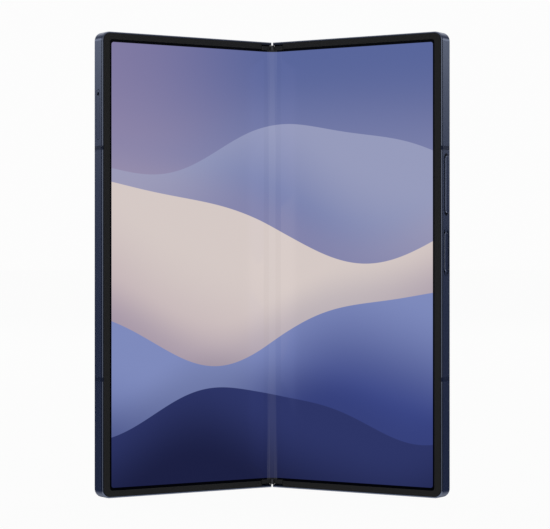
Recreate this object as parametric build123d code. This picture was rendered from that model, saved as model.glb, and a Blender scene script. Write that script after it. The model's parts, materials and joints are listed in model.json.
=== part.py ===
from build123d import *
import os
from math import cos, pi, radians, sin, sqrt, tan

os.makedirs("parts", exist_ok=True)

# A half is drawn flat and to the right: X runs outward from the hinge, Y from the screen's front (0)
# to the back, Z up. It is then turned about its fold axis, and mirrored where it is the left half.

# ---- driving sizes, in millimetres and degrees ----
height = 153.5
half_width = 66.65
thickness = 5.6
corner_radius = 3.0
rest_angle = 32.65

# fold axis of the right half, and the spine round it
axis_x = 1.6
axis_y = 0.85
spine_radius = 3.4
spine_wall = 0.6
spine_top_y = 1.6
spine_gap = 0.1
bracket_gap = 0.05

# frame
rim_height = 0.3
lip_drop = 0.05
lip_width = 0.55
front_round = 0.5
back_chamfer = 0.35
hinge_end_wall = 1.0
hinge_end_radius = 1.35
hinge_corner = 0.3
back_edge_x = 0.15
back_edge_taper = 2.65
web = 0.6
outer_wall = 2.1
pocket_x = 7.9
inner_wall = 1.0
cavity_radius = 1.0

# screen and rim
screen_thickness = 0.8
screen_edge = 1.2
screen_gap = 0.1
seam_x = 5.0
strip_thickness = 0.5
strip_centre_y = -0.15
strip_valley_x = 3.0
rim_inset = 2.45
rim_side_inset = 2.9
rim_gap = 0.05
rim_end_x = 4.75
rim_inner_radius = 1.0

# cutters run this far past the faces they cut
past = 1.0

# glass on the backs
glass_inset = 1.1
glass_hinge_x = 1.6
glass_thickness = 0.5
gasket_thickness = 0.1
glass_gap = 0.05
gasket_width = 0.9

# end guards and the spine's end caps
cap_length = 1.65
nub_half_width = 0.42
nub_front_y = -0.05
guard_x = 1.0
guard_end = 2.8
guard_front_y = -0.1
guard_depth = 0.85
guard_radius = 0.25
guard_groove = 0.3
guard_groove_depth = 0.6

# hinge module: everything along Z counts from its outer end
module_start = 4.6
bearing_plate = 1.0
gear_bay = 3.9
gear_face = 3.0
gear_end_gap = 0.2
bearing_top_y = 1.15
arm_length = 7.0
arm_gap = 0.1
arm_rib = 2.0
arm_thickness = 0.5
arm_front_y = 1.0
arm_inner_x = 3.0
arm_outer_x = 11.5
rail_inner = 1.5
rail_outer = 2.2
rail_gap = 0.08
rail_start = 20
rail_end = 150
seat_depth = 1.1
seat_margin = 1.4

# synchronising gears
gear_count = 4
gear_teeth = 12
outer_gear_x = 2.6
gear_axis_y = 1.95
addendum = 0.13
dedendum = 0.173
backlash = 0.075
pressure_angle = 20
journal_radius = 0.35
bore_gap = 0.03
lever_reach = 9.0
lever_thickness = 0.6
lever_slot_front = 1.45
lever_slot_back = 2.85
lever_notch_back = 2.4
washer_radius = 0.8
washer_thickness = 0.2
washer_gap = 0.05

# wing plates
wing_x = 1.3
wing_axis_x = 7.6
wing_front_y = 0.85
wing_thickness = 0.4
wing_ratio = 0.1
wing_end_gap = 2.0

# ribbon cable
cable_width = 12.0
cable_middle_z = 68.0
cable_thickness = 0.15
cable_gap = 0.4
cable_y = 1.5
cable_end_x = 14.0
cable_bend_x = 6.0

# small screws
screw_radius = 0.45
screw_head_radius = 0.8
screw_gap = 0.03
head_thickness = 0.35
hinge_screw_depth = 2.2
board_screw_head = 0.5
board_screw_inset = 1.8
board_screw_bite = 0.5

# antenna bands
band_width = 1.4
band_depth = 0.8
band_from_top = 38.3
band_lower_z = 39.1

# keys in the right side
key_middle_y = 2.5
rocker_below_band = 2.5
rocker_length = 18.9
rocker_width = 2.0
rocker_proud = 0.5
key_spacing = 6.3
side_key_length = 12.9
side_key_width = 2.0
side_key_proud = 0.12
recess_margin = 1.5
recess_width = 3.3
recess_depth = 0.45
key_round = 0.22
key_gap = 0.12
flange_margin = 0.4
flange_thickness = 0.4
flange_seat = 0.1
key_travel = 0.25
dome_radius = 0.9
dome_height = 0.4
dome_gap = 0.05
switch_strip = 0.4
switch_width = 2.5
switch_rib = 0.9

# card tray in the left side
tray_above_band = 2.8
tray_face_length = 16.4
tray_face_width = 2.4
tray_gap = 0.1
tray_length = 13.9
tray_blade = 0.8
tray_margin = 1.55
pin_hole_radius = 0.65
pin_hole_inset = 1.4
card_length = 12.3
card_width = 8.8

# socket and sound openings in the short edges
port_from_side = 33.15
port_width = 9.0
port_thickness = 3.16
port_wall = 0.25
port_depth = 7.0
port_sunk = 0.4
port_gap = 0.05
tongue_width = 6.7
tongue_thickness = 0.7
tongue_length = 4.6
sound_hole_radius = 0.55
sound_hole_pitch = 2.2
sound_hole_count = 6
sound_hole_inset = 1.7

# insides
cell_gap = 0.1
battery_start_x = 15.2
battery_side_gap = 3.4
right_battery_thickness = 2.8
left_battery_thickness = 2.4
right_battery_start_z = 32.0
left_battery_start_z = 20.0
battery_camera_gap = 1.0
battery_board_gap = 2.0
board_thickness = 0.7
board_start_x = 13.8
main_board_length = 48.0
main_board_top_gap = 3.5
board_camera_gap = 3.5
bottom_board_gap = 1.0
bottom_board_past_port = 9.5
bottom_board_z = (7.8, 28.0)
second_board_length = 38.5
second_board_top_gap = 15.0
board_side_gap = 2.2
can_margin = 4.5
can_height = 1.6
can_wall = 0.15
speaker_width = 15.7
speaker_side_gap = 3.7
speaker_length = 12.0
motor_x = (9.6, 20.0)
motor_z = (2.6, 10.2)
motor_thickness = 2.8
coil_inner = 12.0
coil_outer = 20.0
coil_thickness = 0.2
reader_wall = 0.2
reader_length = 12.9
panel_thickness = 0.6
front_camera_from_side = 33.15
front_camera_from_top = 7.5
front_camera_size = 6.0
front_camera_radius = 1.6

# rear cameras
camera_from_side = 13.65
camera_from_top = 16.0
camera_pitch = 17.5
camera_count = 3
camera_size = 11.0
barrel_radius = 4.4
barrel_gap = 0.3
deck_width = 17.0
deck_end = 8.6
deck_height = 1.1
deck_radius = 0.4
ring_radius = 6.4
ring_wall = 1.4
ring_height = 1.7
ring_gap = 0.05
ring_chamfer = 0.28
lens_thickness = 0.4
lens_sunk = 0.15
flash_from_camera = 11.5
flash_radius = 1.7

# ---- sizes that follow ----
back_y = thickness - rim_height
lip_y = lip_drop - rim_height
web_back_y = screen_thickness + web
glass_y = back_y - glass_thickness
seat_y = glass_y - gasket_thickness
spine_back_y = axis_y + spine_radius
wall_front_y = spine_back_y + spine_gap
cavity_x = pocket_x + inner_wall
cap_z = hinge_end_wall + spine_gap
arm_back_y = arm_front_y + arm_thickness
gear_step = 2 * outer_gear_x / (gear_count - 1)
gear_z = module_start + bearing_plate + gear_end_gap
bay_end = module_start + bearing_plate + gear_bay
right_arm_z = bay_end + bearing_plate + arm_rib
left_arm_z = right_arm_z + arm_length + arm_rib
module_end = left_arm_z + arm_length + arm_rib
inner_side = half_width - outer_wall
front_reach = (half_width - front_round - axis_x) * sin(radians(rest_angle)) + front_round - axis_y
front_reach += (axis_y - lip_y - front_round) * cos(radians(rest_angle))
back_reach = axis_y + (axis_x - back_edge_x) * sin(radians(rest_angle))
back_reach += (back_y - axis_y) * cos(radians(rest_angle))
y_shift = (front_reach - back_reach) / 2

# places counted from the top and from the outer side
band_upper_z = height - band_from_top
rocker_high_z = band_upper_z - rocker_below_band
rocker_low_z = rocker_high_z - rocker_length
side_key_high_z = rocker_low_z - key_spacing
side_key_low_z = side_key_high_z - side_key_length
tray_low_z = band_upper_z + tray_above_band
tray_high_z = tray_low_z + tray_face_length
pin_hole_z = tray_high_z - pin_hole_inset
camera_x = half_width - camera_from_side
camera_heights = [height - camera_from_top - camera_pitch * i for i in range(camera_count)]
flash_x = camera_x - flash_from_camera
front_camera_x = half_width - front_camera_from_side
front_camera_z = height - front_camera_from_top
port_x = half_width - port_from_side
speaker_x = (inner_side - speaker_side_gap - speaker_width, inner_side - speaker_side_gap)
sound_hole_x = speaker_x[0] + sound_hole_inset
main_board_x = (board_start_x, camera_x - camera_size / 2 - board_camera_gap)
main_board_z = (height - main_board_top_gap - main_board_length, height - main_board_top_gap)
bottom_board_x = (motor_x[1] + bottom_board_gap, port_x + bottom_board_past_port)
second_board_x = (board_start_x, inner_side - board_side_gap)
second_board_z = (height - second_board_top_gap - second_board_length, height - second_board_top_gap)
battery_x = (battery_start_x, inner_side - battery_side_gap)
right_battery_z = (right_battery_start_z, camera_heights[-1] - camera_size / 2 - battery_camera_gap)
left_battery_z = (left_battery_start_z, second_board_z[0] - battery_board_gap)
coil_x = (battery_x[0] + battery_x[1]) / 2


# ---- helpers ----
def block(x, y, z):
    centre = Pos((x[0] + x[1]) / 2, (y[0] + y[1]) / 2, (z[0] + z[1]) / 2)
    return centre * Box(x[1] - x[0], y[1] - y[0], z[1] - z[0])


def prism(outline, z):
    return Pos(0, 0, z[0]) * extrude(outline, z[1] - z[0], dir=(0, 0, 1))


def plate(x, y, z, radius):
    """A plate facing Y, round at its two outer corners."""
    body = block(x, y, z)
    return fillet(body.edges().filter_by(Axis.Y).sort_by(Axis.X)[-2:], radius)


def inset_plate(inset, y, radius, x_start):
    return plate((x_start, half_width - inset), y, (inset, height - inset), radius)


def disc(x, z, radius, y):
    """A round disc or rod facing Y."""
    return Pos(x, (y[0] + y[1]) / 2, z) * Rot(90, 0, 0) * Cylinder(radius, y[1] - y[0])


def rod(x, y, radius, z):
    return Pos(x, y, (z[0] + z[1]) / 2) * Cylinder(radius, z[1] - z[0])


def pill_side(z, width, x):
    """A pill facing X, its length along Z, centred on the keys' middle line."""
    outline = Plane.YZ * SlotOverall(z[1] - z[0], width, rotation=90)
    return Pos(x[0], key_middle_y, (z[0] + z[1]) / 2) * extrude(outline, x[1] - x[0], dir=(1, 0, 0))


def group(*solids):
    return Compound([s for item in solids for s in item.solids()])


def flip_z(z):
    return (height - z[1], height - z[0])


def other_end(shape):
    """The same piece at the top end, as a mirror image about mid-height."""
    return mirror(shape, about=Plane.XY.offset(height / 2))


def fold_right(shape):
    fold_axis = Axis((axis_x, axis_y, 0), (0, 0, 1))
    return stay(shape.rotate(fold_axis, -rest_angle, transform=True))


def fold_left(shape):
    return mirror(fold_right(shape), about=Plane.YZ)


def stay(shape):
    return shape.translate((0, y_shift, 0), transform=True)


def save(name, shape):
    export_step(shape, f"parts/{name}.step")


# ---- frame ----
def frame_blank():
    """The half's outside form, its outer edges round in front and chamfered behind."""
    body = plate((back_edge_x, half_width), (lip_y, back_y), (0, height), corner_radius)
    front = body.faces().sort_by(Axis.Y)[0]
    body = fillet(outer_edges(front), front_round)
    back = body.faces().sort_by(Axis.Y)[-1]
    return chamfer(outer_edges(back), back_chamfer)


def outer_edges(face):
    return [e for e in face.edges() if e.center().X > back_edge_x + front_round]


def hinge_end_cut():
    """What is cut off the end walls, so that they turn past the other half without touching."""
    keep = Polyline(
        (axis_x, back_y + past),
        (back_edge_x, back_y + past),
        (back_edge_x, axis_y + back_edge_taper),
        (axis_x - hinge_end_radius, axis_y),
        (axis_x, axis_y),
        close=True,
    )
    keep = make_face(keep) + Pos(axis_x, axis_y) * Circle(hinge_end_radius)
    region = Pos(axis_x / 2, 0) * Rectangle(axis_x, 4 * back_y)
    cut = prism(region - keep, (-past, height + past))
    side = hinge_corner * sqrt(2)
    corner = Pos(axis_x - hinge_end_radius, 0, 0) * Rot(0, 45, 0) * Box(side, 4 * back_y, side)
    return cut + corner + other_end(corner)


def arm_seats(z):
    """Thick places in the web where the rotor arms are screwed down, and the recess over them."""
    solid = block((cavity_x - inner_wall, arm_outer_x + seat_margin),
                  (screen_thickness, arm_back_y + seat_depth), (z[0] - arm_rib, z[1] + arm_rib))
    recess = block((0, arm_outer_x + arm_gap), (-rim_height, arm_back_y),
                   (z[0] - arm_gap, z[1] + arm_gap))
    return solid, recess


def arm_screw_places(z):
    quarter = (z[1] - z[0]) / 4
    x = (pocket_x + arm_outer_x) / 2 + inner_wall / 2
    return [(x, z[0] + quarter), (x, z[1] - quarter)]


def frame_common(arm_z):
    frame = frame_blank()
    frame -= inset_plate(lip_width, (-past, 0), corner_radius - lip_width, rim_end_x)
    screen_pocket = screen_edge - screen_gap
    pocket_radius = corner_radius - screen_pocket
    frame -= inset_plate(screen_pocket, (-past, screen_thickness), pocket_radius, -past)
    frame -= block((-past, pocket_x), (0, wall_front_y), (hinge_end_wall, height - hinge_end_wall))
    frame -= inset_plate(outer_wall, (web_back_y, seat_y + past), cavity_radius, cavity_x)
    seat_radius = corner_radius - glass_inset
    frame -= inset_plate(glass_inset, (seat_y, back_y + past), seat_radius, glass_hinge_x)
    frame -= hinge_end_cut()
    for z in (arm_z, flip_z(arm_z)):
        solid, recess = arm_seats(z)
        frame = frame + solid - recess
        for x, place in arm_screw_places(z):
            depth = (arm_back_y, hinge_screw_depth + screw_gap)
            frame -= disc(x, place, screw_radius + screw_gap, depth)
    bay = (module_start + bearing_plate, bay_end)
    for z in (bay, flip_z(bay)):
        frame -= block((pocket_x - past, lever_reach + arm_gap), (lever_slot_front, lever_slot_back), z)
    half = cable_width / 2 + cable_gap
    frame -= block((pocket_x - past, cavity_x + past), (web_back_y, cable_y + cable_gap),
                   (cable_middle_z - half, cable_middle_z + half))
    return frame


def band_cutters():
    cutters = []
    for z in (band_lower_z, band_upper_z):
        cutters.append(block((half_width - band_depth, half_width + past), (lip_y - past, back_y + past),
                             (z - band_width / 2, z + band_width / 2)))
    return cutters


def band_pieces():
    blank = frame_blank() - inset_plate(lip_width, (-past, 0), corner_radius - lip_width, rim_end_x)
    return group(*[blank & cutter for cutter in band_cutters()])


def board_screw_places(x, z):
    left, right = x[0] + board_screw_inset, x[1] - board_screw_inset
    low, high = z[0] + board_screw_inset, z[1] - board_screw_inset
    return [(left, low), (right, low), (left, high), (right, high)]


def board_screw_holes(places):
    depth = (web_back_y - board_screw_bite - screw_gap, web_back_y)
    return [disc(x, z, screw_radius + screw_gap, depth) for x, z in places]


def sound_holes(z):
    return [rod(sound_hole_x + i * sound_hole_pitch, key_middle_y, sound_hole_radius, z)
            for i in range(sound_hole_count)]


def right_frame():
    frame = frame_common((right_arm_z, right_arm_z + arm_length))
    rocker_slot = rocker_width + 2 * key_gap
    frame -= pill_side((rocker_low_z - key_gap, rocker_high_z + key_gap), rocker_slot,
                       (inner_side - past, half_width + past))
    recess = (side_key_low_z - recess_margin, side_key_high_z + recess_margin)
    frame -= pill_side(recess, recess_width, (half_width - recess_depth, half_width + past))
    frame -= pill_side((side_key_low_z - key_gap, side_key_high_z + key_gap),
                       side_key_width + 2 * key_gap, (inner_side - past, half_width + past))
    frame += switch_carrier()
    frame -= port_outline(port_gap, (-past, port_sunk + port_depth + port_gap))
    for hole in sound_holes((-past, outer_wall + past)):
        frame -= hole
    for cutter in band_cutters():
        frame -= cutter
    for places in (right_board_screws(), bottom_board_screws()):
        for hole in board_screw_holes(places):
            frame -= hole
    return frame


def left_frame():
    frame = frame_common((left_arm_z, left_arm_z + arm_length))
    frame -= pill_side((tray_low_z - tray_gap, tray_high_z + tray_gap),
                       tray_face_width + 2 * tray_gap, (inner_side - past, half_width + past))
    for hole in sound_holes((height - outer_wall - past, height + past)):
        frame -= hole
    for cutter in band_cutters():
        frame -= cutter
    for hole in board_screw_holes(left_board_screws()):
        frame -= hole
    return frame


def switch_carrier():
    """The rib in the cavity that backs the strip of dome switches."""
    back = inner_side - flange_seat - flange_thickness - key_travel - dome_gap - dome_height
    x = (back - switch_strip - switch_rib, back - switch_strip)
    return block(x, (web_back_y - web / 2, key_middle_y + switch_width / 2),
                 (side_key_low_z - recess_margin, rocker_high_z + recess_margin))


def port_outline(gap, z):
    outline = SlotOverall(port_width + 2 * gap, port_thickness + 2 * gap)
    return Pos(port_x, key_middle_y, z[0]) * extrude(outline, z[1] - z[0])


# ---- screen, rim and guards ----
def rim():
    outer = lip_width + rim_gap
    ring = inset_plate(outer, (-rim_height, 0), corner_radius - outer, rim_end_x)
    opening = plate((rim_end_x - past, half_width - rim_side_inset), (-past, past),
                    (rim_inset, height - rim_inset), rim_inner_radius)
    return ring - opening


def screen_panel():
    return inset_plate(screen_edge, (0, screen_thickness), corner_radius - screen_edge, seam_x)


def turned_point(x, y):
    """A point of the right half, flat, taken to where it is at rest."""
    a = radians(rest_angle)
    dx, dy = x - axis_x, y - axis_y
    return (axis_x + dx * cos(a) + dy * sin(a), axis_y - dx * sin(a) + dy * cos(a))


def screen_fold():
    """The bending strip: a smooth valley at rest, level in its middle, tangent to both panels."""
    a = radians(rest_angle)
    seam = turned_point(seam_x, 0)
    valley = (strip_valley_x, seam[1] + (seam[0] - strip_valley_x) * tan(a))
    dx, dy = strip_thickness * sin(a), strip_thickness * cos(a)
    middle = (0, strip_centre_y)
    front = Spline(middle, valley, tangents=((1, 0), (cos(a), -sin(a))), tangent_scalars=(1, 1))
    back_middle = (0, strip_centre_y + strip_thickness)
    back_valley = (valley[0] + dx, valley[1] + dy)
    back_seam = (seam[0] + dx, seam[1] + dy)
    back = Spline(back_middle, back_valley, tangents=((1, 0), (cos(a), -sin(a))),
                  tangent_scalars=(1, 1))
    outline = front + Line(valley, seam) + Line(seam, back_seam) + Line(back_seam, back_valley)
    outline = outline + back + Line(back_middle, middle)
    right = prism(make_face(outline.edges()), (guard_end + rim_gap, height - guard_end - rim_gap))
    return stay(right + mirror(right, about=Plane.YZ))


def end_guards():
    """A plate beside the hinge on a wider base, so that a groove runs round two of its sides."""
    low, high = screen_edge - screen_gap, guard_end
    outer, back = rim_end_x - rim_gap, guard_front_y + guard_depth
    guard = block((guard_x, outer - guard_groove), (guard_front_y, back), (low + guard_groove, high))
    front = guard.faces().sort_by(Axis.Y)[0]
    guard = fillet(front.edges().filter_by(Axis.Z), guard_radius)
    guard += block((guard_x, outer), (guard_front_y + guard_groove_depth, back), (low, high))
    return group(guard, other_end(guard))


# ---- spine ----
def stadium(radius, top_y):
    shape = Pos(0, axis_y) * Rectangle(2 * axis_x, 2 * radius)
    shape += Pos(axis_x, axis_y) * Circle(radius)
    shape += Pos(-axis_x, axis_y) * Circle(radius)
    depth = radius + axis_y - top_y
    return shape & Pos(0, top_y + depth / 2) * Rectangle(4 * spine_radius, depth)


def bracket_screw_places():
    return [right_arm_z - arm_rib / 2, module_end - arm_rib / 2]


def spine_cover():
    inner = spine_radius - spine_wall
    wall = stadium(spine_radius, spine_top_y) - stadium(inner, spine_top_y)
    cover = prism(wall, (cap_z, height - cap_z))
    bay = (module_start + bearing_plate, bay_end)
    for z in (bay, flip_z(bay)):
        notch = (spine_top_y - past, lever_notch_back)
        cover -= block((-2 * spine_radius, 2 * spine_radius), notch, z)
    for z in bracket_screw_places():
        for place in (z, height - z):
            cover -= disc(0, place, screw_radius + screw_gap,
                          (spine_back_y - spine_wall - past, spine_back_y - spine_wall / 2 + screw_gap))
    return stay(cover)


def spine_cap():
    """Closes the spine's end; its nub stands forward between the two end guards."""
    inner = spine_radius - spine_wall - bracket_gap
    cap = prism(stadium(inner, spine_top_y), (cap_z, cap_z + cap_length))
    nub = block((-nub_half_width, nub_half_width), (nub_front_y, spine_top_y + past),
                (cap_z, cap_z + cap_length))
    front = nub.faces().sort_by(Axis.Y)[0]
    nub = fillet(front.edges().filter_by(Axis.Z), nub_half_width / 2)
    return cap + nub


def gear_places():
    """X of the gears on the right of the centre: the idler and the outer gear."""
    return (gear_step / 2, outer_gear_x)


def hinge_bracket():
    inner = spine_radius - spine_wall - bracket_gap
    bay_start = module_start + bearing_plate
    bracket = prism(stadium(inner, spine_top_y), (bay_end + bearing_plate, module_end))
    for z in ((module_start, bay_start), (bay_end, bay_end + bearing_plate)):
        bracket += prism(stadium(inner, bearing_top_y), z)
    tip = gear_step / 2 + addendum
    bracket += prism(stadium(inner, gear_axis_y + tip + bore_gap * 2), (bay_start, bay_end))
    for side, start in ((1, right_arm_z), (-1, left_arm_z)):
        groove = Circle(rail_outer + rail_gap) - Circle(rail_inner - rail_gap)
        bracket -= prism(Pos(side * axis_x, axis_y) * groove,
                         (start - arm_gap, start + arm_length + arm_gap))
    for x in gear_places():
        for side in (1, -1):
            bracket -= rod(side * x, gear_axis_y, journal_radius + bore_gap,
                           (module_start - past, bay_end + bearing_plate))
    for z in bracket_screw_places():
        bracket -= disc(0, z, screw_radius + screw_gap, (0, spine_back_y))
        bracket -= disc(0, z, screw_head_radius + screw_gap, (0, screw_head_y()))
    return bracket


def screw_head_y():
    return spine_top_y + head_thickness


def bracket_screws():
    screws = []
    for z in bracket_screw_places():
        screw = disc(0, z, screw_head_radius, (spine_top_y, screw_head_y()))
        screw += disc(0, z, screw_radius, (screw_head_y(), spine_back_y - spine_wall / 2))
        screws += [screw, other_end(screw)]
    return stay(group(*screws))


def rotor_arm(z):
    """An arm with a curved rail, centred on the fold axis, that runs in the bracket's groove."""
    angles = (radians(rail_start), radians((rail_start + rail_end) / 2), radians(rail_end))

    def at(radius, angle):
        return (axis_x + radius * cos(angle), axis_y + radius * sin(angle))

    inner = [at(rail_inner, a) for a in angles]
    outer = [at(rail_outer, a) for a in angles]
    outline = ThreePointArc(*outer) + Line(outer[-1], inner[-1])
    outline = outline + ThreePointArc(*reversed(inner)) + Line(inner[0], outer[0])
    arm = prism(make_face(outline.edges()), z)
    arm += block((arm_inner_x, arm_outer_x), (arm_front_y, arm_back_y), z)
    for x, place in arm_screw_places(z):
        arm -= disc(x, place, screw_radius + screw_gap, (0, back_y))
        arm -= disc(x, place, screw_head_radius + screw_gap, (0, arm_front_y + head_thickness))
    return arm


def rotor_arms(start):
    z = (start, start + arm_length)
    return group(rotor_arm(z), rotor_arm(flip_z(z)))


def arm_screws(start):
    screws = []
    z = (start, start + arm_length)
    for end in (z, flip_z(z)):
        for x, place in arm_screw_places(end):
            screw = disc(x, place, screw_head_radius, (arm_front_y, arm_front_y + head_thickness))
            screw += disc(x, place, screw_radius, (arm_front_y + head_thickness, hinge_screw_depth))
            screws.append(screw)
    return group(*screws)


# ---- gears ----
def gear_outline(phase):
    """Straight-flanked teeth round a root disc; phase turns them, in degrees."""
    pitch_radius = gear_step / 2
    half_tooth = (2 * pi * pitch_radius / gear_teeth - backlash) / 4
    slope = tan(radians(pressure_angle))
    root, tip = pitch_radius - dedendum, pitch_radius + addendum
    root_half, tip_half = half_tooth + dedendum * slope, half_tooth - addendum * slope
    sink = root - dedendum
    tooth = make_face(Polyline((sink, -root_half), (root, -root_half), (tip, -tip_half),
                               (tip, tip_half), (root, root_half), (sink, root_half), close=True))
    outline = Circle(root)
    for i in range(gear_teeth):
        outline += Rot(0, 0, phase + 360 * i / gear_teeth) * tooth
    return outline


def gear_with_journals(x, phase):
    gear = prism(Pos(x, gear_axis_y) * gear_outline(phase), (gear_z, gear_z + gear_face))
    end = bay_end + bearing_plate - arm_gap
    return gear + rod(x, gear_axis_y, journal_radius, (module_start + arm_gap, end))


def idler_gears(side, phase):
    gear = gear_with_journals(side * gear_step / 2, phase)
    return stay(group(gear, other_end(gear)))


def sync_gears(side, phase):
    """An outer gear whose lever reaches into its half and slides in the slot there."""
    gear = gear_with_journals(outer_gear_x, phase)
    lever = Pos(lever_reach / 2 - outer_gear_x / 2, 0) * Rectangle(
        lever_reach - outer_gear_x, lever_thickness)
    turned = Pos(outer_gear_x, gear_axis_y) * Rot(0, 0, -rest_angle) * lever
    gear += prism(turned, (gear_z, gear_z + gear_face))
    both = stay(group(gear, other_end(gear)))
    return both if side > 0 else mirror(both, about=Plane.YZ)


def friction_washers():
    washers = []
    for side in (1, -1):
        for i in range(2):
            start = gear_z + gear_face + washer_gap + i * (washer_thickness + washer_gap)
            ring = Circle(washer_radius) - Circle(journal_radius + washer_gap)
            washer = prism(Pos(side * outer_gear_x, gear_axis_y) * ring,
                           (start, start + washer_thickness))
            washers += [washer, other_end(washer)]
    return stay(group(*washers))


# ---- wing plates and ribbon cable ----
def wing_plate():
    """Carries the screen beside the fold; its outer edge is round, about the plate's own axis."""
    z = (module_end + wing_end_gap, height - module_end - wing_end_gap)
    middle_y = wing_front_y + wing_thickness / 2
    wing = block((wing_x, wing_axis_x), (wing_front_y, wing_front_y + wing_thickness), z)
    wing += rod(wing_axis_x, middle_y, wing_thickness / 2, z)
    return wing.rotate(Axis((wing_axis_x, middle_y, 0), (0, 0, 1)), -wing_ratio * rest_angle)


def ribbon_cable():
    bend = turned_point(cable_bend_x, cable_y)
    end = turned_point(cable_end_x, cable_y)
    inside = (axis_x + spine_radius / 2, axis_y + spine_radius / 2 - cable_gap / 2)
    bottom = (axis_x, spine_back_y - spine_wall - cable_gap)
    right = [bottom, inside, bend, end]
    points = [(-x, y) for x, y in reversed(right)] + right
    outline = trace(Polyline(*points), line_width=cable_thickness)
    half = cable_width / 2
    return stay(prism(outline, (cable_middle_z - half, cable_middle_z + half)))


# ---- backs ----
def back_glass():
    inset = glass_inset + glass_gap
    return inset_plate(inset, (glass_y, back_y), corner_radius - inset, glass_hinge_x + glass_gap)


def back_gasket():
    """Ring of adhesive on the seat. Beside the hinge it follows the cavity's edge."""
    inset = glass_inset + glass_gap
    ring = inset_plate(inset, (seat_y, glass_y), corner_radius - inset, glass_hinge_x + glass_gap)
    inner = inset + gasket_width
    return ring - inset_plate(inner, (seat_y - past, glass_y + past), rim_inner_radius,
                              cavity_x - gasket_width)


def rear_glass():
    glass = back_glass()
    for z in camera_heights:
        glass -= disc(camera_x, z, barrel_radius + barrel_gap, (0, back_y + past))
    return glass - disc(flash_x, camera_heights[0], flash_radius + glass_gap, (0, back_y + past))


def flash_window():
    return disc(flash_x, camera_heights[0], flash_radius, (glass_y, back_y))


def camera_deck():
    length = camera_heights[0] - camera_heights[-1] + 2 * deck_end
    outline = Plane.XZ * SlotOverall(length, deck_width, rotation=90)
    middle = (camera_heights[0] + camera_heights[-1]) / 2
    deck = Pos(camera_x, back_y, middle) * extrude(outline, deck_height, dir=(0, 1, 0))
    deck = fillet(deck.faces().sort_by(Axis.Y)[-1].edges(), deck_radius)
    for z in camera_heights:
        deck -= disc(camera_x, z, ring_radius + ring_gap, (0, back_y + deck_height + past))
    return deck


def lens_rings():
    rings = []
    for z in camera_heights:
        ring = disc(camera_x, z, ring_radius, (back_y, back_y + ring_height))
        ring -= disc(camera_x, z, ring_radius - ring_wall, (0, back_y + ring_height + past))
        rings.append(chamfer(ring.faces().sort_by(Axis.Y)[-1].edges(), ring_chamfer))
    return group(*rings)


def lens_glasses():
    back = back_y + ring_height - lens_sunk
    return group(*[disc(camera_x, z, ring_radius - ring_wall - ring_gap, (back - lens_thickness, back))
                   for z in camera_heights])


def camera_modules():
    modules = []
    half = camera_size / 2
    lens_front = back_y + ring_height - lens_sunk - lens_thickness - ring_gap
    for z in camera_heights:
        module = block((camera_x - half, camera_x + half), (web_back_y, seat_y - cell_gap),
                       (z - half, z + half))
        modules.append(module + disc(camera_x, z, barrel_radius, (seat_y - cell_gap, lens_front)))
    return group(*modules)


def cover_panel():
    inset = outer_wall + cell_gap
    panel = inset_plate(inset, (seat_y - panel_thickness, seat_y), cavity_radius,
                        cavity_x + cell_gap)
    return panel - disc(front_camera_x, front_camera_z, front_camera_radius + ring_gap, (0, back_y))


def cover_camera():
    half = front_camera_size / 2
    x = (front_camera_x - half, front_camera_x + half)
    z = (front_camera_z - half, front_camera_z + half)
    body = block(x, (web_back_y, seat_y - panel_thickness - cell_gap), z)
    return body + disc(front_camera_x, front_camera_z, front_camera_radius, (web_back_y, glass_y))


# ---- keys, tray and socket ----
def key(z, width, outer_x):
    inner_x = inner_side - flange_seat - flange_thickness
    cap = pill_side(z, width, (inner_x, outer_x))
    rounded = cap.faces().sort_by(Axis.X)[-1].edges()
    cap = fillet(rounded, key_round)
    long = (z[0] - flange_margin, z[1] + flange_margin)
    flange_width = 2 * (key_middle_y - web_back_y - key_gap)
    return cap + pill_side(long, flange_width, (inner_x, inner_x + flange_thickness))


def volume_rocker():
    return key((rocker_low_z, rocker_high_z), rocker_width, half_width + rocker_proud)


def side_key():
    return key((side_key_low_z, side_key_high_z), side_key_width, half_width + side_key_proud)


def key_switches():
    front = inner_side - flange_seat - flange_thickness - key_travel - dome_gap
    base = front - dome_height
    strip = block((base - switch_strip, base),
                  (web_back_y + dome_gap, key_middle_y + switch_width / 2),
                  (side_key_low_z - recess_margin + key_gap, rocker_high_z + recess_margin - key_gap))
    quarter = (rocker_high_z - rocker_low_z) / 4
    places = [(side_key_low_z + side_key_high_z) / 2, rocker_low_z + quarter, rocker_high_z - quarter]
    for z in places:
        dome = Rot(0, 90, 0) * Cone(dome_radius, dome_radius / 2, dome_height)
        strip += Pos(base + dome_height / 2, key_middle_y, z) * dome
    return strip


def card_tray():
    face_x = inner_side + tray_gap
    tray = pill_side((tray_low_z, tray_high_z), tray_face_width, (face_x, half_width))
    y = (key_middle_y - tray_blade / 2, key_middle_y + tray_blade / 2)
    z = (tray_low_z + tray_margin, tray_high_z - tray_margin)
    tray += block((face_x - tray_length, face_x), y, z)
    middle_z, middle_x = (z[0] + z[1]) / 2, face_x - tray_length / 2
    card = (middle_z - card_length / 2, middle_z + card_length / 2)
    tray -= block((middle_x - card_width / 2, middle_x + card_width / 2), (0, back_y), card)
    hole = Pos((face_x + half_width) / 2, key_middle_y, pin_hole_z) * Rot(0, 90, 0)
    return tray - hole * Cylinder(pin_hole_radius, outer_wall + past)


def card_reader():
    """A folded metal cover over the tray, open at its outer side, on the second board."""
    x = (inner_side - reader_length - cell_gap, inner_side - flange_seat)
    gap = tray_gap + reader_wall
    z = (tray_low_z + tray_margin - gap, tray_high_z - tray_margin + gap)
    top = key_middle_y + tray_blade / 2 + gap
    reader = block(x, (web_back_y + board_thickness, top), z)
    inside = block((x[0] - past, x[1] + past), (0, top - reader_wall),
                   (z[0] + reader_wall, z[1] - reader_wall))
    return reader - inside


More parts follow.
